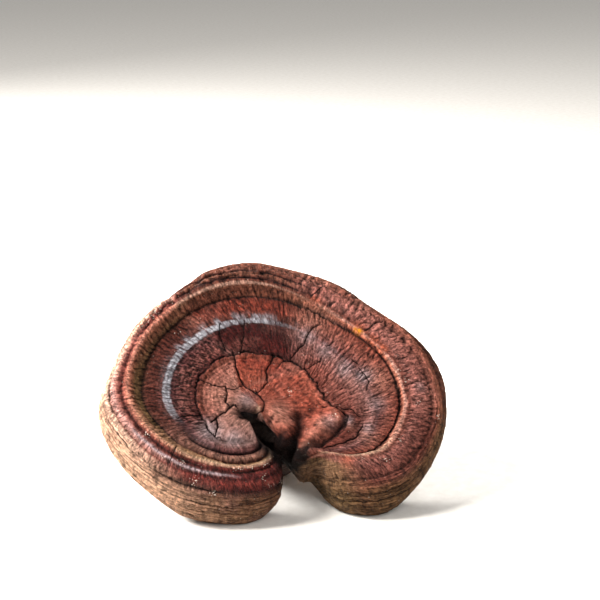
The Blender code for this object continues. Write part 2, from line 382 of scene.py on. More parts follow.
# %% [markdown]
# ## Directions and distances
# Detail is pushed out along the surface's own normal. The mesh takes the plain form first, so that
# Blender can work those normals out. It is also easier to place a roll a few millimetres outside
# the ridge than at a share of a band, so each point gets its walking distance from the crest. It is
# read from a table with a few columns for each growth line.

# %% Normals and the distance from the ridge
mesh.vertices.foreach_set("co", plain.astype(np.float32).ravel())
mesh.update()
normal = np.empty(len(mesh.vertices) * 3, dtype=np.float32)
mesh.vertex_normals.foreach_get("vector", normal)
normal = normal.reshape(-1, 3).astype(float)
TABLE_COLUMNS = 4


def distance_table():
    """Distances outward from the crest, for a grid of growth lines and rings."""
    lines_at = np.arange(0, LINES, 1 / TABLE_COLUMNS)
    rings_at = np.linspace(1, 4.2, 161)
    grid = form(np.repeat(lines_at, len(rings_at)), np.tile(rings_at, len(lines_at)))
    grid = grid.reshape(len(lines_at), len(rings_at), 3)
    steps = np.linalg.norm(np.diff(grid, axis=1), axis=2)
    walked = np.concatenate([np.zeros((len(lines_at), 1)), np.cumsum(steps, axis=1)], axis=1)
    crest_column = np.searchsorted(rings_at, 2.0)
    return walked - walked[:, crest_column:crest_column + 1], rings_at


def from_crest(at, where):
    """Millimetres outward from the crest of the ridge, negative inside it."""
    table, rings_at = distance_table()
    x = (at % LINES) * TABLE_COLUMNS
    column = np.floor(x).astype(int)
    fx = x - column
    y = np.interp(where, rings_at, np.arange(len(rings_at)))
    row = np.minimum(y.astype(int), len(rings_at) - 2)
    fy = y - row
    left, right = column % len(table), (column + 1) % len(table)
    near = table[left, row] * (1 - fy) + table[left, row + 1] * fy
    far = table[right, row] * (1 - fy) + table[right, row + 1] * fy
    return near * (1 - fx) + far * fx


walk = from_crest(line, ring)
turn = line / LINES
flat = plain[:, :2]
print("the face's edge lies", (-walk.min()).round(1), "mm inside the ridge")

# %% [markdown]
# ## Rolls and grooves that follow the rings
# Each season adds a roll. Outside the ridge there is a valley, a second roll, a fine dark line
# and the bulge of the rim, with thin layers all the way down its side. The sides differ, so each
# has its own list of rolls: how far outside the crest, how wide and how high. A thin groove is
# broken here and there and strays more than a roll. All of it wanders a little, as growth does.

# %% Rolls and layers of the rim
wander = noise(turn, ring * 1.5, 24, 11) * 0.7 + noise(turn, ring * 3, 70, 12) * 0.3
jitter = noise(turn, walk / 1.5, 300, 14)
outward = walk * (1 + 0.05 * noise(turn, 0 * ring, 14, 13)) + 0.4 * wander + 0.16 * jitter
open_side = knots(line, *OPEN_LINES)
on_rim = ease((ring - 2.02) / 0.08) * ease((4.0 - ring) / 0.3)
front_side = knots(line, (6.2, 1), (8.4, 0), (29, 0), (30, 1))
left_side = stretch(6.2, 8.4, 12.5, 13.2)
back_side = stretch(12.5, 13.2, 15.5, 17.5)
right_side = stretch(15.5, 17.5, 29, 30)

ROLLS = (
    # a side of the cap, then (distance outside the crest, width, height) in millimetres
    (front_side, (2.0, 0.8, -0.9), (4.2, 0.5, 0.35), (6.8, 1.5, 0.5), (9.6, 0.3, -0.7),
     (11.2, 1.0, 0.25), (12.6, 0.3, -0.5), (15.0, 0.3, -0.4), (17.6, 0.3, -0.4)),
    (left_side, (1.8, 0.7, -0.6), (4.0, 1.1, 0.5), (6.0, 0.28, -0.6), (7.4, 0.8, 0.2),
     (9.2, 0.28, -0.45), (12.0, 0.28, -0.4), (14.6, 0.28, -0.4)),
    (back_side, (0.2, 0.5, 0.25), (2.5, 0.4, -0.8), (3.9, 0.8, 0.3), (5.3, 0.35, -0.8),
     (6.5, 0.6, 0.3), (7.7, 0.35, -0.7), (9.8, 0.35, -0.6), (12.2, 0.35, -0.5)),
    (right_side, (1.5, 0.5, -0.3), (6.0, 2.4, 0.35), (10.2, 0.6, -0.25), (13.0, 1.5, 0.4),
     (16.0, 0.45, -0.35), (18.6, 0.4, -0.3), (21.0, 0.4, -0.3)),
)
THIN = 0.5
LAYER_STEP = 1.35
relief = np.zeros(len(ring))
for side, *rolls in ROLLS:
    for distance, width, height in rolls:
        broken = ease(0.6 + 0.75 * noise(turn, distance + walk / 6, 60, 17)) if width < THIN else 1.0
        strayed = outward + 0.5 * noise(turn, 2 * distance + 0 * ring, 34, 18) * (width < THIN)
        relief += height * side * broken * on_rim * open_side * bump(strayed, distance, width)

right_start = knots(line, (17, 15), (19, 11), (22, 9.5), (32, 8))
layer_start = 7.0 * left_side + 10.0 * (front_side + back_side) + right_start * right_side
in_layers = on_rim * ease((outward - layer_start) / 2.0) + 0.8 * on_rim * (1 - open_side)
layers = (outward / LAYER_STEP + 0.9 * wander + 0.3 * jitter) % 1.0
layer_height = 0.4 + 0.2 * noise(turn, walk / LAYER_STEP, 40, 19)
relief += layer_height * in_layers * (layers - 0.5)
print("rim relief from", relief.min().round(2), "to", relief.max().round(2), "mm")

# %% [markdown]
# ## Rings on the face
# Inside the ridge a dark line follows the bottom of the groove. On the front lobe the old rings
# crowd together into two rolls with a fold between them, and the open face has one faint roll and
# a fine grain of rings. The disc ends in a raised lip with a crack outside it, except beside the
# notch, where both fade out.

# %% Groove line, crowded rings and the disc's lip
RING_GRAIN_STEP = 1.3
DISC_EDGE_RING = 1.01
share = np.clip(ring - 1, 0, 1)
inward, groove_at, span = face_measures(line, share)
on_face = ease(share / 0.04) * ease((2.0 - ring) / 0.05) * (ring > 1)
groove_offset = inward - groove_at + 0.35 * wander + 0.25 * jitter
groove_strength = knots(line, (0, 0), (3, 0.5), (7, 0.5), (9, 0.6), (16, 0.8), (24, 1.0), (26, 0))
groove_strength *= 0.75 + 0.25 * noise(turn, 0 * ring, 80, 20)
groove_line = groove_strength * on_face * bump(groove_offset, 0.1, 0.32 - 0.1 * right_side)
relief -= (0.75 + 0.5 * right_side) * groove_line

crowded = stretch(2, 3, 6.2, 8.2) * on_face
fold_line = crowded * bump(share + 0.03 * wander, 0.5, 0.035)
relief += crowded * (0.9 * bump(share, 0.28, 0.16) + 1.0 * bump(share, 0.7, 0.13)) - 0.9 * fold_line
open_face = on_face * open_side * (1 - crowded)
relief += 0.45 * open_face * bump(share, 0.48, 0.07)
ring_grain = np.sin(2 * math.pi * (inward / RING_GRAIN_STEP + 0.7 * wander + 0.2 * jitter))
ring_patch = 0.6 + 0.6 * noise(turn, share * 6, 30, 15)
inner_half = 1 - 0.6 * ease((share - 0.5) / 0.2)
relief += (0.09 + 0.07 * left_side) * ring_grain * ring_patch * on_face * open_side * inner_half

lip = ease((ring - 0.86) / 0.1) - ease((ring - 1.0) / 0.012)
disc_step = knots(line, (0, 0), (5, 0.1), (7, 0.8), (12, 1), (18, 1), (20.5, 0.7), (22, 0.2), (24, 0))
edge_offset = (ring - DISC_EDGE_RING) * 20 + 0.45 * jitter + 0.5 * noise(turn, 0 * ring, 90, 16)
edge_crack = bump(edge_offset, 0, 0.3)
relief += 0.45 * disc_step * lip
relief -= 0.9 * disc_step * edge_crack
print("the ring relief now runs from", relief.min().round(2), "to", relief.max().round(2), "mm")

# %% [markdown]
# ## Creases that run outward
# The crust wrinkled as it dried, in pleats along the growth lines. A pleat is a wave round the
# cap whose phase drifts with smooth noise, so the lines wander but stay radial. It fades in and
# out in patches. The right of the rim is coarser, broken into short bumps. The pleats leave the
# disc alone and fade where the rim shows its layers. The inner face has low scales instead.

# %% Radial creases


def pleats(count, seed, sharpness):
    """Creases along the growth lines: 0 on the skin, up to 1 in a crease."""
    drift = 0.9 * noise(turn, walk / 8, 40, seed) + 0.5 * noise(turn, walk / 3.5, 110, seed + 1)
    wave = np.sin(2 * math.pi * (count * turn + drift))
    patch = ease(0.5 + 0.75 * noise(turn, walk / 4.5, 90, seed + 2))
    return ((1 - wave) / 2) ** sharpness * patch


strong_right = knots(line, (0, 0.1), (13, 0.2), (16.5, 1), (23, 1), (25, 0.5), (27, 0.1))
fine_pleats = np.maximum(pleats(190, 21, 3), 0.8 * pleats(140, 26, 4))
coarse_pleats = np.maximum(pleats(150, 31, 3), pleats(230, 36, 3))
off_crest = 1 - 0.35 * bump(outward, 0, 1.2) * (1 - 0.7 * right_side)
outer_face = ease((share - 0.42) / 0.12)
plain_rim = 1 - 0.75 * in_layers
face_creases = (0.34 + 0.18 * outer_face + 0.12 * left_side) * off_crest * fine_pleats
face_creases *= on_face * open_side * (1 - 0.7 * crowded)
rim_creases = on_rim * open_side * (0.14 + 0.3 * strong_right) * coarse_pleats * plain_rim
skew = 0.5 * noise(turn, walk / 6, 50, 44) / 60
bumps = 0.6 * noise(turn + skew, walk / 3.5, 220, 41) + noise(turn - skew, walk / 3.0, 380, 42)
bump_zone = on_rim * (0.11 + 0.17 * strong_right) + on_face * (0.10 + 0.06 * strong_right)
bump_zone *= open_side * off_crest * plain_rim
relief += bump_zone * bumps - face_creases - rim_creases
relief += 0.24 * noise(turn, walk / 5.0, 60, 45) * open_side * (on_rim + on_face)
scales = np.maximum(noise(turn + skew, walk / 1.6, 200, 46), -0.2) * on_face * open_side
relief += 0.5 * scales * ease((0.5 - share) / 0.15) * (left_side + 0.6 * back_side + 0.3 * right_side)
print("creases reach", (face_creases + rim_creases).max().round(2), "mm")

# %% [markdown]
# ## The disc, its plates and the folds beside the notch
# The oldest skin has split into plates. Each crack is a short line of points on the cap's face,
# and the surface dips with the distance from it. Beside the notch the cap swells into folds; each
# is a soft hump, or a soft valley, along a line. These places are picked on the flat of the face.
# Cracks and folds are kept apart from the fine relief, so that the paint can tell them apart too.

# %% Cracks and folds
CRACKS = (
    # width and depth in millimetres, then points (p, q)
    (0.36, 0.9, (-9.6, 20.2), (-9.3, 15.0), (-8.6, 10.2), (-7.0, 7.6), (-3.4, 4.6), (-1.8, 3.0),
     (-0.8, 0.6)),
    (0.36, 0.9, (4.2, 18.0), (2.5, 15.2), (1.0, 12.3), (0.8, 8.3), (-0.6, 6.2), (-2.8, 4.2)),
    (0.26, 0.7, (-11.9, 20.6), (-13.2, 24.2), (-13.8, 28.2), (-13.5, 31.6)),
    (0.26, 0.7, (-7.0, 20.7), (-5.7, 26.0), (-4.6, 32.6)),
    (0.32, 0.9, (10.4, 17.0), (13.4, 20.6), (15.4, 22.0), (17.4, 25.8), (19.4, 28.0), (21.6, 29.0)),
    (0.32, 0.8, (-22.4, 10.4), (-20.6, 9.6), (-17.0, 8.2), (-13.4, 7.4), (-13.2, 4.2), (-14.4, 2.0),
     (-13.2, 0.2)),
    (0.24, 0.5, (-13.4, 6.8), (-10.6, 6.4), (-7.8, 7.4)),
    (0.30, 0.8, (-31.0, -3.6), (-27.6, -3.0), (-23.2, -2.8)),
    (0.42, 1.0, (-19.6, -5.8), (-17.6, -3.6), (-15.6, -2.4), (-14.8, -2.6), (-12.8, -0.6),
     (-11.4, 0.6), (-9.6, -1.2), (-8.4, -3.2)),
    (0.38, 0.9, (-18.2, -4.6), (-17.6, -8.0), (-19.0, -11.6)),
    (0.30, 0.8, (18.9, -2.6), (21.6, -3.0), (25.4, -3.6), (29.0, -4.2), (31.4, -7.0)),
    (0.26, 0.6, (15.2, 12.4), (17.6, 14.0), (20.4, 15.2)),
    (0.26, 0.6, (5.6, 14.2), (8.6, 16.4)),
    (0.36, 0.8, (31.8, -10.6), (29.6, -14.6), (24.6, -16.8), (17.6, -18.6)),
    (0.26, 0.5, (20.4, 40.6), (23.0, 43.0), (25.0, 44.8)),
    (0.30, 0.7, (38.0, 25.6), (41.2, 28.0), (45.0, 29.6)),
    (0.28, 0.6, (-32.6, -15.2), (-34.2, -18.4), (-35.4, -20.8)),
    (0.28, 0.6, (33.6, 10.8), (35.4, 8.0), (36.4, 5.6), (35.0, 2.4)),
    (0.24, 0.5, (31.6, 14.4), (33.4, 12.4)),
    (0.24, 0.5, (23.4, 20.6), (25.0, 21.6), (26.6, 22.0)),
    (0.30, 0.8, (-1.0, -0.4), (-1.6, -2.2), (-3.8, -3.0)),
)
FOLDS = (
    # width and height in millimetres, then points (p, q)
    (3.6, 2.5, (12.0, -16.8), (15.4, -12.2), (19.2, -8.8), (22.4, -6.8)),
    (1.7, 1.2, (28.6, -7.0), (27.4, -11.6), (23.6, -15.4), (19.0, -17.4)),
    (1.8, -2.6, (10.4, -5.6), (10.6, -9.4), (9.0, -12.8), (6.6, -16.8)),
    (0.7, -1.2, (26.4, -5.8), (25.6, -9.8), (22.2, -13.8), (17.2, -17.4)),
    (3.4, 1.2, (1.6, -3.6), (4.0, -7.4), (5.0, -10.6)),
    (2.0, -3.0, (-8.6, -2.4), (-4.6, -3.2), (-2.2, -6.6), (0.2, -10.6)),
    (3.6, 1.3, (-12.4, -5.6), (-12.6, -9.4)),
    (1.0, 0.6, (-3.0, -0.2), (-2.2, -1.8)),
)


def side_of(points, path):
    """Signed distance of each point to a broken line, in millimetres: positive on its left."""
    nearest = np.full(len(points), 1e9)
    for start, end in zip(path, path[1:]):
        start, end = np.array(start), np.array(end)
        along = end - start
        part = np.clip(((points - start) @ along) / (along @ along), 0, 1)
        apart = points - start - part[:, None] * along
        distance = np.hypot(apart[:, 0], apart[:, 1])
        left = np.sign(along[0] * apart[:, 1] - along[1] * apart[:, 0] + 1e-9)
        nearest = np.where(distance < np.abs(nearest), distance * left, nearest)
    return nearest


def cloud(cell, seed):
    """Smooth noise on the flat of the face, with cells of a size in millimetres."""
    return noise(flat[:, 0] / 200 + 0.5, flat[:, 1] / cell + 48, int(200 / cell), seed)


shaky = flat + 0.34 * np.stack([cloud(2.2, 51), cloud(2.2, 52)], axis=1)
shaky += 0.16 * np.stack([cloud(0.9, 53), cloud(0.9, 54)], axis=1)
upper = ring < 2.9
FAR_FROM_CRACKS = 9.0
crack_side = np.full(len(ring), FAR_FROM_CRACKS)
folds = np.zeros(len(ring))
for width, depth, *path in CRACKS:
    reach = side_of(shaky[upper], path)
    folds[upper] -= depth * bump(reach, 0, width)
    scaled = reach / width
    so_far = crack_side[upper]
    crack_side[upper] = np.where(np.abs(scaled) < np.abs(so_far), scaled, so_far)
for width, height, *path in FOLDS:
    folds[upper] += height * bump(side_of(shaky[upper], path), 0, width)
print(len(CRACKS), "cracks and", len(FOLDS), "folds")

# %% [markdown]
# ## Grain of the disc and unevenness everywhere
# Fine fibres fan out over the disc, the plates and the body beside the notch are knobbly, and the
# far edge is torn into short folds. Nothing that grew is quite true, so the whole cap gets a slow
# unevenness too, and one kink in the rim at the upper left.

# %% Fibres, knobs and torn folds
on_disc = ease((1.0 - ring) / 0.05)
FAN_CENTRE = np.array([-3.0, 0.0])
fan = flat - FAN_CENTRE
fan_reach = np.hypot(fan[:, 0], fan[:, 1])
fan_angle = np.arctan2(fan[:, 1], fan[:, 0]) / (2 * math.pi)
fibres = noise(fan_angle, fan_reach / 2.6, 110, 61) + 0.7 * noise(fan_angle, fan_reach / 1.4, 160, 63)
relief += 0.17 * fibres * ease(fan_reach / 7) * on_disc
disc_rings = np.sin(2 * math.pi * (11 * ring + 0.35 * cloud(5.0, 70) + 0.2 * cloud(1.8, 74)))
ringed = ease((ring - 0.42) / 0.12) * knots(line, (0, 0), (5, 0.3), (8, 1), (22, 1), (24, 0.3), (26, 0))
relief += 0.1 * disc_rings * ringed * on_disc
relief += (0.25 * cloud(4.0, 62) + 0.16 * cloud(1.7, 64) + 0.10 * cloud(1.0, 67)) * on_disc
plate = bump(side_of(flat, ((-12.4, -3.0), (-12.6, -10.0))), 0, 4.5) * (ring < 1.3)
relief += plate * (0.2 * cloud(2.4, 68) + 0.16 * cloud(1.2, 69))
body = bump(side_of(flat, ((1.0, -3.0), (4.0, -8.0), (5.0, -13.0))), 0, 4.4) * (ring < 2)
relief += body * (0.8 * cloud(3.0, 65) + 0.5 * cloud(1.4, 66))
uneven = noise(turn, ring * 0.9, 16, 71) * 0.45 + noise(turn, ring * 1.8, 34, 72) * 0.25
uneven = uneven * ease((ring - 1.0) / 0.4) * open_side * ease((4.6 - ring) / 0.5)
ragged = stretch(10.6, 12, 15, 16.4) * on_rim * bump(outward, 5.0, 4.0)
torn = np.abs(noise(turn, walk / 1.9, 64, 75) + 0.4 * noise(turn, walk / 0.9, 120, 76))
relief += ragged * (0.35 - 1.1 * bump(torn, 0, 0.16))
KINK_LINE = 12.75
uneven -= 1.3 * on_rim * bump(line, KINK_LINE, 0.09) * bump(outward, 3.5, 3.0)
print("unevenness from", uneven.min().round(2), "to", uneven.max().round(2), "mm")

# %% [markdown]
# ## Press the sphere into the cap
# Every point moves to its place on the plain form, plus its relief along the normal. Below a
# touching height of a fifth of a millimetre the points are eased down towards the table without
# passing it, so the two lobes stand on small flats, as the real one does.

# %% Move the points
TOUCH = 0.0002
finished = place(plain + normal * (relief + folds + uneven)[:, None])
low = finished[:, 2] < TOUCH
finished[low, 2] = TOUCH * np.exp((finished[low, 2] - TOUCH) / TOUCH)
mesh.vertices.foreach_set("co", finished.astype(np.float32).ravel())
mesh.update()
deselect_all()
cap.select_set(True)
bpy.context.view_layer.objects.active = cap
bpy.ops.object.shade_smooth()
print("cap:", len(mesh.vertices), "points, lowest", (finished[:, 2].min() * 1000).round(2), "mm")

# %% [markdown]
# ## Pale crests, painted shade in hollows and zones of colour
# The paint is made paler where the bark stands up, partly wear and partly painted highlight, and
# darker where it lies deep, which is painted shade. To know which is which, the relief is compared
# with the average of its neighbours, close by and further off. Colour follows the rings, so each
# point also gets a zone: 0 to 1 on the disc, to 2 at the groove, to 3 on the crest, and past that a
# twentieth for each millimetre down the rim.

# %% Hollows and zones
ZONES = 5.0
MM_PER_ZONE = 20
edge_ends = np.empty(len(mesh.edges) * 2, dtype=np.int32)
mesh.edges.foreach_get("vertices", edge_ends)
first_end, second_end = edge_ends.reshape(-1, 2).T
neighbours = np.bincount(edge_ends, minlength=len(relief))


def smoothed(values, rounds):
    """Values averaged with their neighbours, so many times."""
    for _ in range(rounds):
        total = np.bincount(first_end, values[second_end], len(values))
        total += np.bincount(second_end, values[first_end], len(values))
        values = 0.5 * values + 0.5 * total / neighbours
    return values


hollow = smoothed(relief, 8) - relief
deep = relief + folds
hollow_wide = smoothed(deep, 80) - deep
on_slope = np.clip(1 - inward / groove_at, 0, 1)
on_ground = np.clip((span - inward) / (span - groove_at), 0, 1)
face_zone = np.where(ring < 1, ring, 1 + on_ground + on_slope)
zone = np.where(ring < 2, face_zone, 3 + np.maximum(outward, 0) / MM_PER_ZONE)
print("the deepest hollow lies", hollow.max().round(2), "mm below its neighbours")

# %% [markdown]
# ## The pale bloom
# A thin waxy bloom is left along one old ring on the left of the face. It lies between two rings
# whose places drift a little from line to line, and its edges fray along the growth lines. At the
# far side a few faint streaks of it run on outward.

# %% Where the bloom lies
bloom_side = knots(line, (7.8, 0), (8.8, 0.8), (9.6, 1), (14.6, 1), (15.4, 0.5), (16.4, 0.1), (32, 0))
bloom_inner = knots(line, (0, 0.46), (9, 0.47), (12, 0.49), (14.5, 0.52), (17, 0.55), (32, 0.6))
bloom_outer = knots(line, (0, 0.6), (9, 0.61), (12, 0.6), (14.5, 0.59), (17, 0.59), (32, 0.64))
frayed = on_ground + 0.007 * noise(turn, walk / 2, 280, 81) + 0.006 * noise(turn, 0 * ring, 60, 83)
bloom = ease((frayed - bloom_inner) / 0.02) * (1 - ease((frayed - bloom_outer) / 0.03))
streak_side = knots(line, (0, 0), (10, 0.1), (13, 1), (15.5, 1), (17, 0))
streaked = np.clip(1.3 * noise(turn, walk / 5, 150, 82) + 0.1, 0, 1) * streak_side
bloom = np.maximum(bloom, streaked * bump(on_ground, 0.65, 0.06)) * bloom_side
print("bloom on", int((bloom > 0.5).sum()), "points")

# %% [markdown]
# ## Spots, chips, glints and stains
# Some marks are single: white flecks, partly chips in the crust and partly painted glints, one amber
# crumb on the right ridge, and patches that are warmer, greyer or more tan than the crust round them.
# Each is a soft round spot, given by its strength, its radius and its middle. More flecks, painted
# glints in part, lie along the front crest and in a run at the upper left.

# %% Spots on the upper side
FLECKS = (
    # strength, radius, then the middle (p, q)
    (1, 1.5, 22.4, -7.8), (1, 1.4, 8.8, 4.2), (1, 1.4, 49.5, 5.0), (1, 1.6, 52.0, -4.0),
    (1, 1.4, 59.0, -9.0), (1, 1.5, -29.5, 44.0), (1, 1.4, -37.0, -18.5), (1, 1.6, -42.0, -10.0),
    (1, 1.6, 3.0, -28.0), (1, 1.6, -31.0, -21.0), (1, 1.4, 47.0, 9.0), (1, 1.5, -27.5, -28.0),
    (1, 1.4, -21.5, -32.0), (1, 1.3, -4.5, -28.0), (1, 1.0, -2.0, -30.5), (1, 1.2, 44.0, -18.0),
    (1, 1.2, 38.0, -24.0), (1, 1.2, 30.0, -23.6),
)
AMBER_CRUMB = ((1.6, 0.8, 35.6, 25.2), (1.0, 0.6, 34.2, 26.0), (0.7, 0.5, 36.6, 24.6))
WARM_PATCHES = (
    (0.85, 1.6, 43.0, 17.6), (0.5, 2.2, 40.2, 21.0), (0.35, 2.6, 36.0, 27.0), (0.4, 2.0, 21.0, 38.5),
    (0.5, 2.2, 24.5, -24.5),
)
GREY_PATCHES = (
    (0.7, 3.0, 35.0, 8.0), (0.5, 3.0, 28.6, 11.0), (0.6, 1.8, 27.5, -9.0), (0.7, 4.0, -20.5, -9.5),
    (0.5, 3.0, -13.0, -13.0), (0.5, 3.0, -7.0, 1.5), (0.5, 2.0, 33.5, -12.0), (0.45, 3.0, 17.0, 25.0),
    (0.4, 3.0, 22.5, 18.5), (0.35, 2.5, 20.5, -9.5), (0.4, 3.0, 38.0, -3.0), (0.35, 2.0, 54.0, 2.0),
)
# on the bulge beside the notch these tan patches also stand in part for its highlight: a painted
# highlight
TAN_PATCHES = (
    (0.8, 4.0, 3.5, -4.0), (0.6, 3.5, 6.0, -6.5), (0.6, 3.0, 18.0, -10.0), (0.4, 2.5, 14.0, -13.5),
    (0.4, 2.0, 22.5, -8.0), (0.6, 2.0, 11.5, -17.5), (0.5, 3.0, 33.0, -15.0), (0.5, 2.0, 27.6, -11.0),
    (0.4, 4.0, -17.0, 4.0), (0.4, 5.0, 40.0, 6.0), (0.3, 6.0, 20.0, 31.0),
)
NOTCH_CHIPS = ((0.8, 0.7, -2.8, -1.0), (0.6, 0.6, -3.8, -2.6))
on_upper_side = ring < 3.4


def spots(places):
    """Soft round spots on the upper side of the cap, the strongest where they overlap."""
    result = np.zeros(len(ring))
    for strength, radius, p, q in places:
        reach = np.hypot(flat[:, 0] - p, flat[:, 1] - q)
        result = np.maximum(result, strength * bump(reach, 0, radius))
    return result * on_upper_side


# white flecks: chips in part, painted glints in part
flecks = spots(FLECKS)
flecks = np.maximum(flecks, 0.9 * front_side * open_side * bump(outward, 1.0, 0.8) * bump(line, 4.3, 1.3))
flecks = np.maximum(flecks, 0.8 * left_side * bump(outward, 3.4, 2.0) * bump(line, 12.0, 1.1))
print(len(FLECKS), "flecks and", len(WARM_PATCHES + GREY_PATCHES + TAN_PATCHES), "patches")

# %% [markdown]
# ## Painted shade in the deep places
# The deep places are painted dark as painted shade: the notch nearly black, and the valleys beside
# the folds too. Each dark line has a strength and a width. The lobes are also painted darker
# towards the table, a painted shade where they turn away from the light, and so is the small lobe
# beside the notch.

# %% Dark lines and shaded lobes
DARK_LINES = (
    # strength and width, then points (p, q)
    (0.9, 1.7, (10.6, -5.4), (10.4, -9.6), (8.8, -13.0), (6.4, -17.0)),
    (0.8, 2.6, (4.6, -12.5), (6.6, -17.0)),
    (1.0, 3.0, (-7.6, -4.0), (-3.4, -6.4), (-0.6, -10.4), (3.0, -16.0), (5.0, -21.0)),
    (0.75, 0.8, (15.0, -18.6), (20.6, -15.0), (25.4, -10.4)),
    (0.85, 1.8, (6.0, -18.0), (11.0, -19.6)),
    (0.55, 2.0, (10.0, -20.0), (12.8, -16.6)),
    (0.35, 1.9, (14.0, -17.6), (19.4, -13.8), (24.0, -9.6)),
)
# painted shade: the notch, the valleys beside the folds, the small lobe and the lobes low down are
# darkened
shaded = np.zeros(len(ring))
for strength, width, *path in DARK_LINES:
    shaded += strength * bump(side_of(flat, path), 0, width) * (ring < 3)
shaded += knots(line, (3, 1), (4.2, 0), (27, 0), (28.5, 1)) * ease((ring - 1.0) / 0.5)
shaded += 0.4 * stretch(25.2, 26.0, 28.8, 29.4) * ease((ring - 2.04) / 0.12)
shaded += 0.3 * knots(line, (3.4, 1), (5.4, 0)) * ease((outward - 8) / 3)
shaded += 0.25 * knots(line, (21, 0), (23, 1), (25, 0.6), (26, 0)) * ease((outward - 8) / 4)
print("painted_shade on", int((shaded > 0.5).sum()), "points")

# %% [markdown]
# ## Tints of the sides
# No two sides of a reishi weathered alike. The right lobe goes from maroon to olive on its way
# down, the crest is pale there and dull brown at the far edge, the upper left rim is painted pale
# ivory in patches as a painted highlight, and the front ridge is khaki with a silvery grey painted
# sheen line under it. Each tint is a run of growth lines times a band of rings. The side masks that
# choose the ring colours blend more widely low on the rim, so that no seam shows from behind.

# %% Masks for the tints
khaki_side = stretch(5.2, 6.4, 8.4, 9.4)
right_lobe = stretch(20.5, 22, 24, 25.4)
dull_side = knots(line, (15.2, 0), (16, 1), (16.8, 1), (17.6, 0.25), (19.0, 0))
dull_crest = 0.75 * dull_side * bump(outward, -0.6, 2.2)
brown_slope = 0.75 * stretch(10.0, 11.2, 14, 15.5) * bump(outward, -3.3, 1.5)
maroon_lobe = ease((outward - 3.0) / 3.0) * (1 - 0.8 * ease((outward - 11.0) / 3.0))
maroon_lobe *= 0.6 * right_lobe * on_rim
olive = stretch(23.8, 25.2, 28, 29) * ease((ring - 2.04) / 0.12)
olive_foot = 0.7 * right_lobe * on_rim * ease((outward - 11.5) / 3.0)
tan_crest = 0.8 * stretch(21, 22.5, 25, 26) * bump(outward, -0.5, 1.3)
ivory_crest = 0.8 * stretch(22.2, 23.2, 25, 25.8) * bump(outward, -0.5, 0.9)
# painted highlight: the upper left rim is made pale ivory in patches
rim_highlight_patches = 0.3 + 0.45 * np.clip(noise(turn, walk / 1.6, 150, 85) + 0.3, 0, 1)
ivory_rim = stretch(9.4, 10.6, 12.4, 12.9) * ease((outward - 2.6) / 1.2) * rim_highlight_patches
# painted sheen: a silvery grey line under the front ridge
sheen_line_at = outward + 0.4 * noise(turn, 0 * ring, 60, 84)
sheen_line = 0.9 * stretch(4.8, 5.6, 7.8, 8.6) * bump(sheen_line_at, 3.9, 0.5)
low_down = ease((outward - 7) / 7)
left_paint = left_side * (1 - low_down) + low_down * stretch(5, 8.4, 11, 16)
back_paint = back_side * (1 - low_down) + low_down * knots(line, (11, 0), (16, 1), (19, 0))
print("tints ready")

# %% [markdown]
# ## Hand it all to the material
# A material can read any number that is stored on the mesh's points as an attribute. They stay
# with the surface wherever it goes, which is better here than a pattern fixed in space.

# %% Store the attributes
masks = {
    "ring": ring,
    "walk": outward,
    "turn": turn,
    "fan_x": fan[:, 0] / np.maximum(fan_reach, 0.5),
    "fan_y": fan[:, 1] / np.maximum(fan_reach, 0.5),
    "fan_reach": fan_reach,
    "zone": zone / ZONES,
    "left_side": left_paint,
    "back_side": back_paint,
    "right_side": right_side,
    "hollow": np.clip(hollow / 0.32, -1, 1),
    "hollow_wide": np.clip(hollow_wide / 0.6, -1, 1),
    "crack_side": np.clip(crack_side, -8, 8),
    "crack_near": np.clip(np.abs(crack_side), 0, 8),
    "edge_side": np.clip(edge_offset, -4, 4) + 9 * (disc_step < 0.15),
    "line_mask": np.clip(groove_line + fold_line, 0, 1),
    "layered": np.clip(np.maximum(in_layers, olive), 0, 1),
    "bloom": np.clip(bloom * open_side * on_face, 0, 1),
    "flecks": flecks * on_upper_side,
    "shaded": 0.97 * np.clip(shaded, 0, 1),
    "amber": spots(AMBER_CRUMB),
    "warm": spots(WARM_PATCHES),
    "ivory": ivory_crest + ivory_rim + spots(NOTCH_CHIPS),
    "grey_and_sheen": np.maximum(spots(GREY_PATCHES), sheen_line),
    "tanned": np.maximum(spots(TAN_PATCHES), tan_crest),
    "dull_crest": np.maximum(dull_crest, brown_slope),
    "khaki": 0.75 * khaki_side * bump(outward, -0.9, 1.3),
    "maroon": np.maximum(maroon_lobe, 0.3 * khaki_side * bump(outward, 2.0, 1.3)),
    "olive": 0.85 * np.maximum(olive, olive_foot),
}
for name, values in masks.items():
    layer = mesh.attributes.new(name=name, type="FLOAT", domain="POINT")
    layer.data.foreach_set("value", np.asarray(values, dtype=np.float32))
print("stored", ", ".join(masks))

# %% [markdown]
# ## The stem
# The stalk hangs square to the cap's underside and is cut off level with the table. Reishi stalks
# look lacquered: dark, knobbly and shiny. It starts as a sphere too, drawn out to a tube along its
# axis, and the foot is cut off with Bisect, which fills the cut with one flat face. Bisect keeps
# points that are within its threshold of the cut where they are, so the threshold is tiny.

# %% Draw out the stem and cut its foot
STEM_CENTRE = np.array([5.0, -4.6])
STEM_SWEEP = np.array([0.4, 0.6])
STEM_RADIUS = 7.6
STEM_REACH = 46.0
STEM_TOP = UNDERSIDE - 0.3
STEM_CAP_SHARE = 0.1
FOOT_HEIGHT = 0.00002

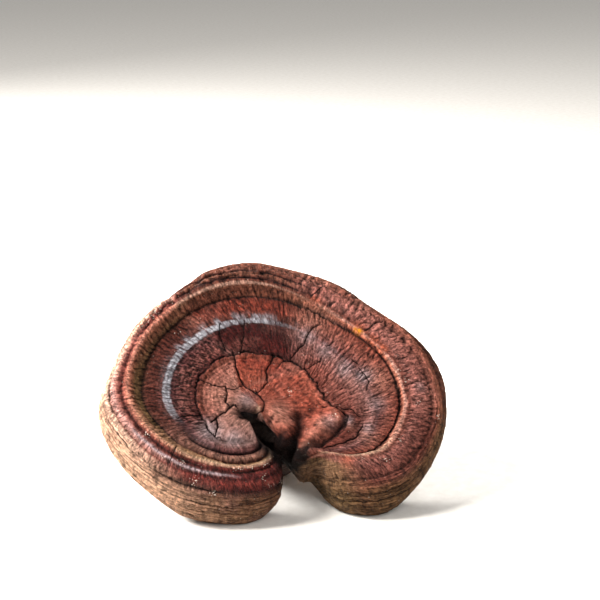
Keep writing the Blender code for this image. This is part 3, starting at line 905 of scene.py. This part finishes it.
deselect_all()
bpy.ops.mesh.primitive_uv_sphere_add(segments=128, ring_count=160, radius=1.0)
stem = bpy.context.object
stem.name = "reishi_stem"
stem_mesh = stem.data
ball = np.empty(len(stem_mesh.vertices) * 3)
stem_mesh.vertices.foreach_get("co", ball)
ball = ball.reshape(-1, 3)
stem_turn = np.arctan2(ball[:, 1], ball[:, 0]) / (2 * math.pi)
stem_fall = np.arccos(np.clip(ball[:, 2], -1, 1)) / math.pi
down = np.clip((stem_fall - STEM_CAP_SHARE) / (1 - 2 * STEM_CAP_SHARE), 0, 1)
from_end = np.clip(np.minimum(stem_fall, 1 - stem_fall) / STEM_CAP_SHARE, 0, 1)
angle = stem_turn * 2 * math.pi
flare = (1 - ease(2.2 * down)) * 2.4
swell = ease(down) * 0.8
knobs = 0.35 * np.sin(2 * angle + 5 * down) + 0.25 * np.sin(3 * angle - 4 * down)
ribs = 0.35 * noise(stem_turn, down * 5, 7, 91) + 0.16 * noise(stem_turn, down * 14, 18, 92)
stem_rings = 0.10 * np.sin(2 * math.pi * (down * 13 + 0.4 * noise(stem_turn, down * 8, 9, 93)))
radius = (STEM_RADIUS + flare + swell + knobs + ribs + stem_rings) * from_end
stem_points = np.stack([
    STEM_CENTRE[0] + STEM_SWEEP[0] * down + radius * np.cos(angle),
    STEM_CENTRE[1] + STEM_SWEEP[1] * down + radius * np.sin(angle),
    STEM_TOP - STEM_REACH * down,
], axis=1)
stem_mesh.vertices.foreach_set("co", place(stem_points).astype(np.float32).ravel())
stem_mesh.update()
bpy.ops.object.mode_set(mode="EDIT")
bpy.ops.mesh.select_all(action="SELECT")
bpy.ops.mesh.bisect(
    plane_co=(0, 0, FOOT_HEIGHT), plane_no=(0, 0, 1), use_fill=True, clear_inner=True, threshold=0.000001
)
bpy.ops.object.mode_set(mode="OBJECT")
bpy.ops.object.shade_smooth_by_angle(angle=math.radians(50))
print("stem:", len(stem_mesh.vertices), "points")

# %% [markdown]
# ## Mixing paint with nodes
# Materials are built from a few kinds of node, so each kind gets a small helper here. Colours are
# written the way a paint chart shows them, and turned to the linear values that nodes expect.

# %% Helpers for materials


def linear(colour):
    """A paint-chart colour (0 to 255 each) as the linear colour a node expects."""
    parts = [c / 255 for c in colour]
    return (*[c / 12.92 if c <= 0.04045 else ((c + 0.055) / 1.055) ** 2.4 for c in parts], 1.0)


class Finish:
    """A new material, with short ways to add the nodes used here."""

    def __init__(self, name):
        self.material = bpy.data.materials.new(name)
        self.material.use_nodes = True
        self.tree = self.material.node_tree
        self.shader = self.tree.nodes["Principled BSDF"]
        self.place = self.tree.nodes.new("ShaderNodeTexCoord").outputs["Object"]

    def plug(self, value, socket):
        """Link an output to a socket, or set a plain value on it."""
        if isinstance(value, bpy.types.NodeSocket):
            self.tree.links.new(value, socket)
        else:
            socket.default_value = value

    def value(self, name):
        """A value stored on the mesh's points."""
        node = self.tree.nodes.new("ShaderNodeAttribute")
        node.attribute_name = name
        return node.outputs["Fac"]

    def sum(self, operation, first, second=0.0, third=0.0):
        """One step of arithmetic."""
        node = self.tree.nodes.new("ShaderNodeMath")
        node.operation = operation
        for socket, value in zip(node.inputs, (first, second, third)):
            self.plug(value, socket)
        return node.outputs[0]

    def times(self, *values):
        """Values multiplied together."""
        result = values[0]
        for value in values[1:]:
            result = self.sum("MULTIPLY", result, value)
        return result

    def remap(self, value, low, high, to_low=0.0, to_high=1.0):
        """A value stretched from one range to another, and held inside it."""
        node = self.tree.nodes.new("ShaderNodeMapRange")
        for socket, part in zip(node.inputs, (value, low, high, to_low, to_high)):
            self.plug(part, socket)
        return node.outputs["Result"]

    def ramp(self, value, *stops):
        """A colour for each place along a value, as (place, colour) pairs from 0 to 1.

        All places are set before any colour, because moving a stop can change the stops' order.
        """
        node = self.tree.nodes.new("ShaderNodeValToRGB")
        self.plug(value, node.inputs["Fac"])
        elements = node.color_ramp.elements
        while len(elements) < len(stops):
            elements.new(0.5)
        for element, (at, _) in zip(elements, sorted(stops)):
            element.position = at
        for element, (_, colour) in zip(elements, sorted(stops)):
            element.color = linear(colour)
        return node.outputs["Color"]

    def mix(self, factor, first, second):
        """Two colours mixed: the first where the factor is 0, the second where it is 1."""
        node = self.tree.nodes.new("ShaderNodeMix")
        node.data_type = "RGBA"
        self.plug(factor, node.inputs[0])
        for socket, colour in ((node.inputs[6], first), (node.inputs[7], second)):
            self.plug(linear(colour) if isinstance(colour, tuple) else colour, socket)
        return node.outputs[2]

    def scaled(self, colour, by):
        """A colour made lighter or darker by a value."""
        node = self.tree.nodes.new("ShaderNodeVectorMath")
        node.operation = "SCALE"
        self.plug(colour, node.inputs[0])
        self.plug(by, node.inputs["Scale"])
        return node.outputs[0]

    def noise(self, scale, detail=4.0, rough=0.6, vector=None):
        """Cloudy noise from 0 to 1; the scale is in cells per metre."""
        node = self.tree.nodes.new("ShaderNodeTexNoise")
        self.plug(vector or self.place, node.inputs["Vector"])
        for name, value in (("Scale", scale), ("Detail", detail), ("Roughness", rough)):
            node.inputs[name].default_value = value
        return node.outputs["Fac"]

    def grid(self, across, along, third=0.0):
        """A pattern place made of two or three values."""
        node = self.tree.nodes.new("ShaderNodeCombineXYZ")
        for socket, value in zip(node.inputs, (across, along, third)):
            self.plug(value, socket)
        return node.outputs[0]

    def bump(self, height, distance, strength=1.0, under=None):
        """Fine relief, in metres, over an earlier layer of relief."""
        node = self.tree.nodes.new("ShaderNodeBump")
        node.inputs["Strength"].default_value = strength
        node.inputs["Distance"].default_value = distance
        self.plug(height, node.inputs["Height"])
        if under is not None:
            self.plug(under, node.inputs["Normal"])
        return node.outputs["Normal"]

    def set(self, **values):
        """Set or link sockets of the shader, named with underscores for spaces."""
        for name, value in values.items():
            self.plug(value, self.shader.inputs[name.replace("_", " ")])


print("helpers ready")

# %% [markdown]
# ## Ring colours of the crust
# The colours come in rings, so the base is a colour ramp along the zones, with one ramp for each
# side of the cap. A ramp holds 32 stops at most, which is enough for one side's rings. A little
# noise on the zone keeps the bands from looking ruled.

# %% Colour ramps along the zones
FRONT_COLOURS = (
    # zone, then the colour
    (0.0, (150, 102, 88)), (0.5, (154, 108, 94)), (0.88, (144, 104, 94)), (0.98, (112, 84, 78)),
    (1.04, (114, 86, 80)), (1.22, (134, 100, 94)), (1.44, (110, 66, 62)), (1.56, (52, 26, 26)),
    (1.62, (104, 64, 56)), (1.8, (140, 98, 83)), (1.96, (92, 58, 46)), (2.1, (114, 80, 60)),
    (2.5, (158, 116, 86)), (2.95, (206, 172, 140)), (3.02, (190, 142, 118)), (3.05, (76, 32, 29)),
    (3.12, (110, 46, 40)), (3.17, (78, 30, 28)), (3.26, (80, 32, 29)), (3.33, (98, 40, 34)),
    (3.42, (80, 32, 28)), (3.46, (58, 24, 21)), (3.5, (72, 42, 33)), (3.6, (88, 60, 44)),
    (3.8, (100, 71, 52)), (4.1, (108, 79, 58)), (4.5, (112, 82, 62)),
)
LEFT_COLOURS = (
    (0.0, (140, 92, 78)), (0.4, (162, 110, 96)), (0.8, (152, 94, 80)), (0.92, (106, 58, 46)),
    (0.99, (76, 38, 30)), (1.03, (76, 38, 35)), (1.2, (98, 58, 52)), (1.4, (86, 48, 46)),
    (1.5, (62, 38, 40)), (1.66, (84, 50, 46)), (1.76, (90, 47, 39)), (1.92, (82, 42, 33)),
    (2.0, (62, 38, 28)), (2.1, (104, 78, 52)), (2.4, (122, 92, 62)), (2.6, (126, 82, 60)),
    (2.78, (196, 124, 100)), (2.95, (236, 158, 136)), (3.02, (222, 142, 120)), (3.05, (150, 84, 70)),
    (3.09, (128, 64, 57)), (3.13, (134, 74, 66)), (3.17, (178, 116, 104)), (3.22, (196, 144, 134)),
    (3.28, (186, 132, 120)), (3.3, (120, 72, 60)), (3.34, (206, 166, 144)), (3.5, (182, 144, 120)),
    (4.0, (180, 142, 116)), (4.5, (146, 112, 88)),
)
BACK_COLOURS = (
    (0.0, (136, 72, 56)), (0.5, (138, 66, 49)), (0.8, (122, 52, 39)), (0.9, (112, 54, 40)),
    (0.99, (74, 32, 24)), (1.03, (52, 18, 15)), (1.15, (74, 21, 17)), (1.3, (62, 17, 15)),
    (1.45, (60, 19, 17)), (1.55, (52, 24, 24)), (1.68, (96, 48, 38)), (1.78, (112, 47, 34)),
    (1.93, (100, 42, 30)), (2.0, (48, 24, 18)), (2.06, (90, 50, 36)), (2.4, (104, 60, 44)),
    (2.8, (112, 68, 52)), (2.96, (168, 126, 108)), (3.02, (172, 132, 114)), (3.05, (100, 56, 44)),
    (3.13, (50, 24, 20)), (3.19, (120, 74, 58)), (3.27, (56, 28, 22)), (3.34, (118, 69, 54)),
    (3.5, (116, 68, 54)), (3.8, (118, 74, 55)), (4.3, (124, 90, 66)),
)
RIGHT_COLOURS = (
    (0.0, (138, 76, 60)), (0.4, (140, 68, 52)), (0.8, (132, 63, 48)), (0.93, (138, 72, 56)),
    (0.99, (100, 50, 40)), (1.04, (124, 64, 53)), (1.2, (138, 77, 66)), (1.42, (136, 88, 80)),
    (1.5, (142, 98, 92)), (1.6, (128, 78, 72)), (1.8, (138, 78, 65)), (1.95, (122, 62, 49)),
    (2.0, (34, 17, 14)), (2.2, (110, 57, 44)), (2.5, (176, 106, 84)), (2.85, (190, 134, 117)),
    (3.02, (192, 138, 122)), (3.04, (140, 82, 70)), (3.07, (112, 62, 52)), (3.2, (158, 100, 90)),
    (3.4, (160, 100, 88)), (3.62, (136, 80, 65)), (3.72, (132, 79, 60)), (3.8, (80, 42, 32)),
    (4.0, (90, 56, 40)), (4.6, (96, 66, 48)),
)
OTHER_SIDES = (("left_side", LEFT_COLOURS), ("back_side", BACK_COLOURS), ("right_side", RIGHT_COLOURS))
PORES = (146, 114, 84)

crust = Finish("cap_crust")
zone_value = crust.value("zone")
ring_value = crust.value("ring")
patches = crust.noise(160.0, 5.0, 0.6)
zone_place = crust.sum("MULTIPLY_ADD", crust.sum("SUBTRACT", patches, 0.5), 0.012, zone_value)


def zone_ramp(stops):
    """A ramp whose places are zones."""
    return crust.ramp(zone_place, *((at / ZONES, colour) for at, colour in stops))


base = zone_ramp(FRONT_COLOURS)
for side, stops in OTHER_SIDES:
    base = crust.mix(crust.value(side), base, zone_ramp(stops))
base = crust.mix(crust.remap(ring_value, 3.75, 3.98), base, PORES)
print("ring colours from", 1 + len(OTHER_SIDES), "ramps")

# %% [markdown]
# ## Mottle and tints
# Bark is never one tone. A broad noise pushes it towards dark red in some places and towards a
# dusty tan in others. Then each tint is laid on through its own mask, like a thin glaze.

# %% Lay the tints on
TINTS = (
    ("dull_crest", (118, 70, 56)),
    ("khaki", (146, 110, 80)),
    ("tanned", (182, 126, 108)),
    ("maroon", (72, 27, 21)),
    ("warm", (204, 104, 74)),
    # the ivory tint also carries the painted highlight on the upper left rim
    ("ivory", (232, 190, 158)),
    # the grey tint also carries the painted sheen line under the front ridge
    ("grey_and_sheen", (160, 142, 144)),
    ("olive", (98, 76, 50)),
)
mottle = crust.noise(75.0, 5.0, 0.6)
base = crust.mix(crust.remap(mottle, 0.5, 0.7, 0.0, 0.35), base, (88, 38, 32))
base = crust.mix(crust.remap(mottle, 0.48, 0.3, 0.0, 0.22), base, (168, 118, 106))
for mask, colour in TINTS:
    base = crust.mix(crust.value(mask), base, colour)
print("tints:", ", ".join(mask for mask, _ in TINTS))

# %% [markdown]
# ## Patterns that follow the growth
# Streaks, wrinkles and veins run outward, and layers run along the rings. So their noise is not
# read in space but on the growth pattern: so many cells round the cap, and so many for each
# millimetre outward. Long cells make streaks, and a noise's middle value makes thin lines. The
# layered sides of the rim have ply lines and short ticks, and the open skin has veins.

# %% Streaks, layers and veins
turn_value = crust.value("turn")
walk_value = crust.value("walk")
layered = crust.value("layered")


def growth_noise(round_cells, out_cells, detail, rough, layer=0.0):
    """Noise with so many cells round a turn, and so many for each millimetre outward."""
    across = crust.times(turn_value, round_cells)
    along = crust.times(walk_value, out_cells)
    return crust.noise(1.0, detail, rough, crust.grid(across, along, layer))


def thin_lines(pattern, width):
    """Thin lines, where a pattern crosses its middle value."""
    return crust.remap(crust.sum("ABSOLUTE", crust.sum("SUBTRACT", pattern, 0.5)), width, 0.0)


on_crust = crust.remap(ring_value, 0.98, 1.04)
streaks = growth_noise(400.0, 0.22, 4.0, 0.7)
strata = growth_noise(30.0, 1.7, 4.0, 0.7, 3.0)
wrinkles = growth_noise(400.0, 0.5, 4.0, 0.65, 7.0)
ply_lines = crust.times(thin_lines(growth_noise(26.0, 0.9, 3.0, 0.6, 21.0), 0.04), layered)
ticks = crust.times(crust.remap(growth_noise(230.0, 0.2, 2.0, 0.6, 31.0), 0.48, 0.36), layered)
veins = thin_lines(growth_noise(250.0, 0.2, 3.0, 0.6, 11.0), 0.045)
veins = crust.times(veins, on_crust, crust.sum("SUBTRACT", 1.0, layered))
dashes = crust.remap(growth_noise(260.0, 0.4, 2.0, 0.6, 5.0), 0.42, 0.6, 0.4, 2.1)
fan_place = crust.grid(
    crust.times(crust.value("fan_x"), 17.0),
    crust.times(crust.value("fan_y"), 17.0),
    crust.times(crust.value("fan_reach"), 0.45),
)
disc_fibres = crust.noise(1.0, 4.0, 0.7, fan_place)
on_skin = crust.mix(on_crust, disc_fibres, crust.mix(0.5, streaks, wrinkles))
coarse_grain = crust.noise(620.0, 4.0, 0.7)
speckle = crust.noise(1500.0, 3.0, 0.7)
print("patterns ready")

# %% [markdown]
# ## Light and dark of the crust
# One factor scales the paint up or down. It is a product: grain, speckle and skin lines first, then
# the layers, lines and dashes, and last the hollows, darkened as painted shade, and the crests, made
# paler partly as wear and partly as painted highlight. A factor that belongs to one part of the cap
# rests at a plain value elsewhere.

# %% Scale the paint
PLAIN_LIGHT = 0.62
hollow_value = crust.value("hollow")
scales_start = crust.remap(zone_value, 1.03 / ZONES, 1.1 / ZONES)
scales_end = crust.remap(zone_value, 1.54 / ZONES, 1.48 / ZONES)
in_scales = crust.times(scales_start, scales_end, crust.value("left_side"))


def only_where(mask, value, rest=1.0):
    """A value where a mask is 1, and a resting value where it is 0."""
    return crust.sum("MULTIPLY_ADD", crust.sum("SUBTRACT", value, rest), mask, rest)


light = crust.times(
    crust.remap(coarse_grain, 0.3, 0.7, 0.78, 2.3),
    crust.remap(speckle, 0.3, 0.7, 0.7, 1.3),
    only_where(crust.remap(layered, 0.0, 1.0, 1.0, 0.45), crust.remap(on_skin, 0.34, 0.66, 1.5, 0.42)),
    only_where(layered, crust.remap(strata, 0.3, 0.7, 0.66, 1.4), PLAIN_LIGHT),
    crust.remap(ply_lines, 0.0, 1.0, 1.06, 0.4),
    crust.remap(ticks, 0.0, 1.0, 1.06, 0.52),
    crust.remap(veins, 0.0, 1.0, 1.06, 0.5),
    only_where(in_scales, dashes),
    # painted shade in the hollows, and paler crests, partly wear and partly painted highlight
    crust.remap(hollow_value, 0.0, 0.8, 1.0, 0.25),
    crust.remap(hollow_value, -0.1, -0.9, 1.0, 1.45),
    crust.remap(crust.value("hollow_wide"), 0.1, 1.0, 1.0, 0.5),
)
base = crust.scaled(base, light)
print("paint scaled")

# %% [markdown]
# ## Bloom, dark lines, painted shade and chips with glints
# These lie over the paint, so they come last. The bloom is bluish grey and patchy. The groove line,
# the cracks and the disc's edge are drawn in a nearly black ink, the first and the last of them
# broken by the grain, and the deep places get a nearly black painted shade. Small pale crumbs stand
# for chips in part and for painted glints in part.

# %% Draw over the paint
AMBER = (226, 146, 36)
INK = (22, 11, 10)
PAINTED_SHADE = (10, 5, 5)
CHIP_AND_GLINT_WHITE = (228, 212, 196)
base = crust.mix(crust.value("amber"), base, AMBER)
frost = crust.ramp(streaks, (0.35, (206, 208, 216)), (0.62, (116, 108, 116)))
frosted = crust.times(
    crust.value("bloom"),
    crust.remap(streaks, 0.66, 0.46, 0.4, 0.95),
    crust.remap(coarse_grain, 0.32, 0.5, 0.45, 1.0),
)
base = crust.mix(frosted, base, frost)
patchy = crust.remap(coarse_grain, 0.36, 0.6, 0.25, 0.95)
off_crack = crust.sum("ABSOLUTE", crust.value("crack_side"))
off_edge = crust.sum("ABSOLUTE", crust.value("edge_side"))
near_crack = crust.remap(crust.value("crack_near"), 2.6, 1.8)
# ink for the lines, the cracks and the disc's edge, then the painted shade of the deep places
for dark_place, colour in (
    (crust.times(crust.value("line_mask"), patchy), INK),
    (crust.times(crust.remap(off_crack, 1.0, 0.4), near_crack), INK),
    (crust.times(crust.remap(off_edge, 0.45, 0.2), patchy), INK),
    (crust.value("shaded"), PAINTED_SHADE),
):
    base = crust.mix(dark_place, base, colour)
# pale crumbs from the flecks: chips in part, painted glints in part
crumbs = crust.noise(2000.0, 1.0, 0.5)
chips_and_glints = crust.sum("MULTIPLY_ADD", crust.value("flecks"), 0.2, crumbs)
base = crust.mix(crust.remap(chips_and_glints, 0.77, 0.81), base, CHIP_AND_GLINT_WHITE)
print("crust has", len(crust.tree.nodes), "nodes so far")

# %% [markdown]
# ## The feel of the crust
# What is too fine for the mesh goes into Bump nodes, one over another, from the finest speckle to
# the cut of the veins. Dry bark hardly shines, so the specular level is low and the roughness
# high, with a little speckle in it.

# %% Fine relief and finish of the cap
fine_relief = None
for height, depth in (
    (speckle, 0.0004),
    (coarse_grain, 0.0013),
    (crust.sum("SUBTRACT", 1.0, on_skin), 0.0022),
    (crust.times(strata, layered), 0.0016),
    (crust.sum("SUBTRACT", 1.0, crust.sum("ADD", veins, ply_lines)), 0.0008),
):
    fine_relief = crust.bump(height, depth, 0.9, fine_relief)
crust.set(Base_Color=base, Normal=fine_relief, Specular_IOR_Level=0.1)
crust.set(Roughness=crust.remap(speckle, 0.3, 0.7, 0.5, 0.8))
cap.data.materials.append(crust.material)
print("crust has", len(crust.tree.nodes), "nodes")

# %% [markdown]
# ## The varnished stem
# The stalk is nearly black with brown showing through, under a natural lacquer. A coat layer over
# a darker, rougher base gives that look better than one glossy surface.

# %% Material of the stem
varnish = Finish("stem_varnish")
tone = varnish.noise(180.0, 4.0, 0.6)
varnish.set(
    Base_Color=varnish.ramp(tone, (0.3, (26, 14, 12)), (0.55, (48, 24, 18)), (0.75, (82, 44, 30))),
    Roughness=varnish.remap(tone, 0.3, 0.7, 0.35, 0.55),
    Normal=varnish.bump(varnish.noise(500.0, 4.0, 0.6), 0.0003, 0.6),
    Coat_Weight=0.3,
    Coat_Roughness=0.3,
    Specular_IOR_Level=0.3,
)
stem.data.materials.append(varnish.material)
print("varnish has", len(varnish.tree.nodes), "nodes")

# %% [markdown]
# ## Hand over the two pieces
# Nothing here moves, so both pieces ride on the root body. Each stands for one node of the solid
# model, and that node's own piece is hidden.

# %% Bodies and nodes
for piece, node, slot in ((cap, "cap", "cap_flesh"), (stem, "stem", "stem_varnish")):
    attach(piece, "root")
    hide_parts(node)
print("pieces:", cap.name, stem.name)

# %% [markdown]
# ## Floor, light and camera
# The studio is plain: a pale table, a soft window on the left, a second one on the left and further
# back, a weak fill from the front right, and pale surroundings that brighten the shadows. Each
# light is a square that is turned to face a point just above the table.

# %% Studio
deselect_all()
bpy.ops.mesh.primitive_plane_add(size=6.0, location=(0, 0, 0))
floor = bpy.context.object
floor.name = "floor"
table = Finish("floor_plain")
cloth = table.noise(220.0, 4.0, 0.6)
table.set(Base_Color=table.ramp(cloth, (0.3, (226, 222, 216)), (0.7, (238, 235, 230))), Roughness=0.9)
floor.data.materials.append(table.material)


def soft_light(name, place_at, aim_at, size, power, colour):
    """A square soft light, aimed at a point."""
    bpy.ops.object.light_add(type="AREA", location=place_at)
    light = bpy.context.object
    light.name = name
    light.data.size = size
    light.data.energy = power
    light.data.color = colour
    x, y, z = np.array(aim_at) - np.array(place_at)
    tilt = math.atan2(math.hypot(x, y), -z)
    light.rotation_euler = (tilt, 0, math.atan2(y, x) - math.pi / 2)


MIDDLE = (0.0, 0.0, 0.035)
soft_light("window", (-0.76, 0.0, 0.72), MIDDLE, 0.36, 28.0, (1.0, 0.97, 0.93))
soft_light("far window", (-0.55, 0.6, 0.42), MIDDLE, 0.4, 17.0, (1.0, 0.98, 0.95))
soft_light("fill", (0.3, -0.9, 0.8), MIDDLE, 0.9, 7.0, (1.0, 0.98, 0.96))

world = bpy.data.worlds.new("studio")
bpy.context.scene.world = world
world.use_nodes = True
surroundings = world.node_tree.nodes["Background"]
surroundings.inputs["Color"].default_value = (1.0, 0.99, 0.97, 1.0)
surroundings.inputs["Strength"].default_value = 0.42
bpy.context.scene.view_settings.view_transform = "Standard"

bpy.ops.object.camera_add(location=(-0.0734, -0.4903, 0.2089))
camera = bpy.context.object
LOOK_DOWN = math.radians(15.8)
LOOK_RIGHT = math.radians(9.6)
camera.rotation_euler = (math.pi / 2 - LOOK_DOWN, 0, -LOOK_RIGHT)
camera.data.lens = 89.0
camera.data.sensor_width = 36.0
bpy.context.scene.camera = camera
print("camera at", [round(c, 3) for c in camera.location])

# %% [markdown]
# ## Finish
# Last, the view layer is brought up to date.

# %% The end
bpy.context.view_layer.update()
